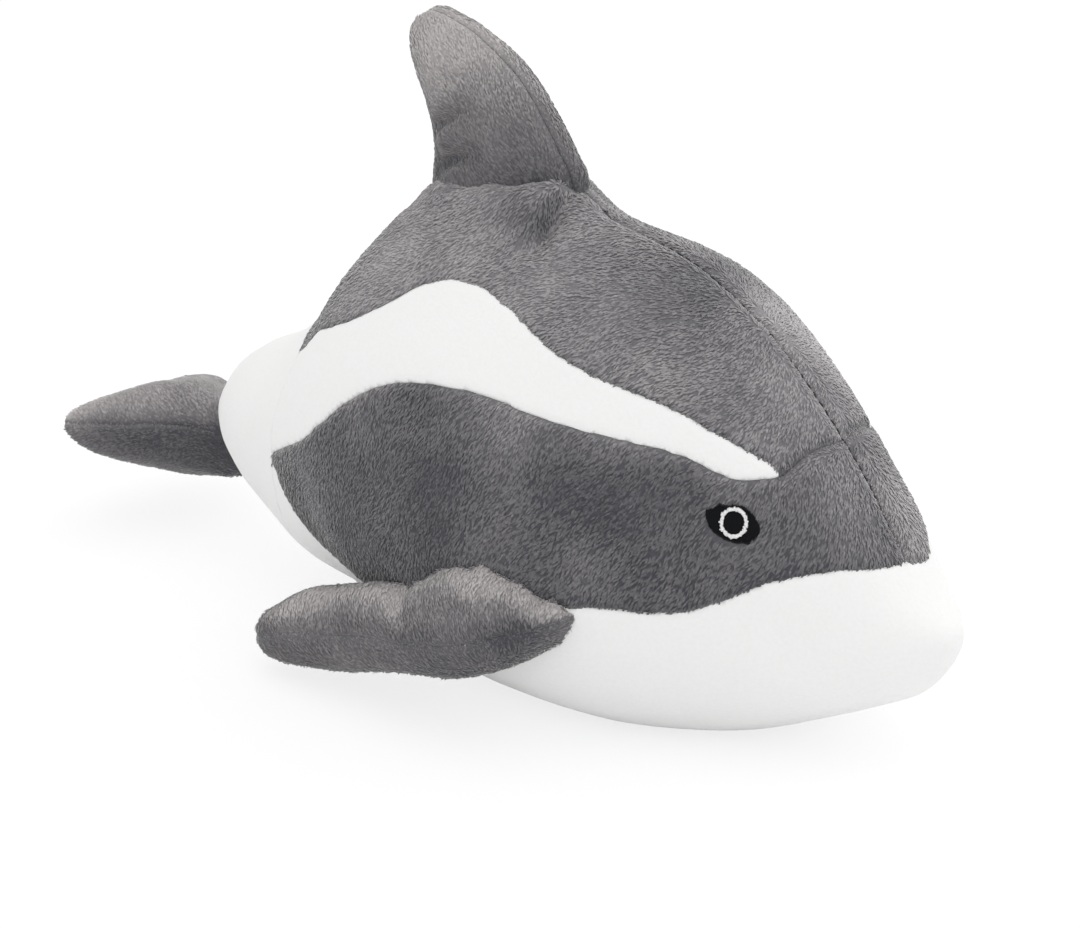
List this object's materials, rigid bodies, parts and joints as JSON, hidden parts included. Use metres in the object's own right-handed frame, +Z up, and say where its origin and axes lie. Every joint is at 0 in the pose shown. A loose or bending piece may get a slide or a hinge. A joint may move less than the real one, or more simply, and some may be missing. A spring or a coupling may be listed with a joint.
{
  "type": "plush dolphin",
  "caption": "Stuffed plush toy dolphin lying on its belly, sewn from gray and white pile cloth, with padded fins and embroidered eyes.",
  "frame": {"origin": "middle of the bounding box on the floor plane, under the belly", "axes": "+X toward the head and snout, -Y toward the right flank, +Z up"},
  "size_m": [0.349, 0.1654, 0.2055],
  "materials": {
    "gray_plush": "short brushed pile, gray",
    "fin_plush": "short brushed pile, gray",
    "white_plush": "short brushed pile, white",
    "filling": "loose fibre filling",
    "black_thread": "embroidered black thread",
    "white_thread": "embroidered white thread"
  },
  "bodies": {
    "root": {"body_stuffing": "filling", "tail_piece": "white_plush", "belly_panel": "white_plush", "face_panel_right": "gray_plush", "face_panel_left": "gray_plush", "side_band_right": "white_plush", "side_band_left": "white_plush", "back_panel_right": "gray_plush", "back_panel_left": "gray_plush", "back_fin_right": "fin_plush", "back_fin_left": "fin_plush", "back_fin_filling": "filling", "tail_fluke_upper": "fin_plush", "tail_fluke_lower": "fin_plush", "tail_fluke_filling": "filling", "pectoral_fin_right_upper": "fin_plush", "pectoral_fin_right_lower": "fin_plush", "pectoral_fin_right_filling": "filling", "pectoral_fin_left_upper": "fin_plush", "pectoral_fin_left_lower": "fin_plush", "pectoral_fin_left_filling": "filling", "eye_patch_right": "black_thread", "eye_patch_left": "black_thread", "eye_ring_right": "white_thread", "eye_ring_left": "white_thread"}
  },
  "joints": []
}
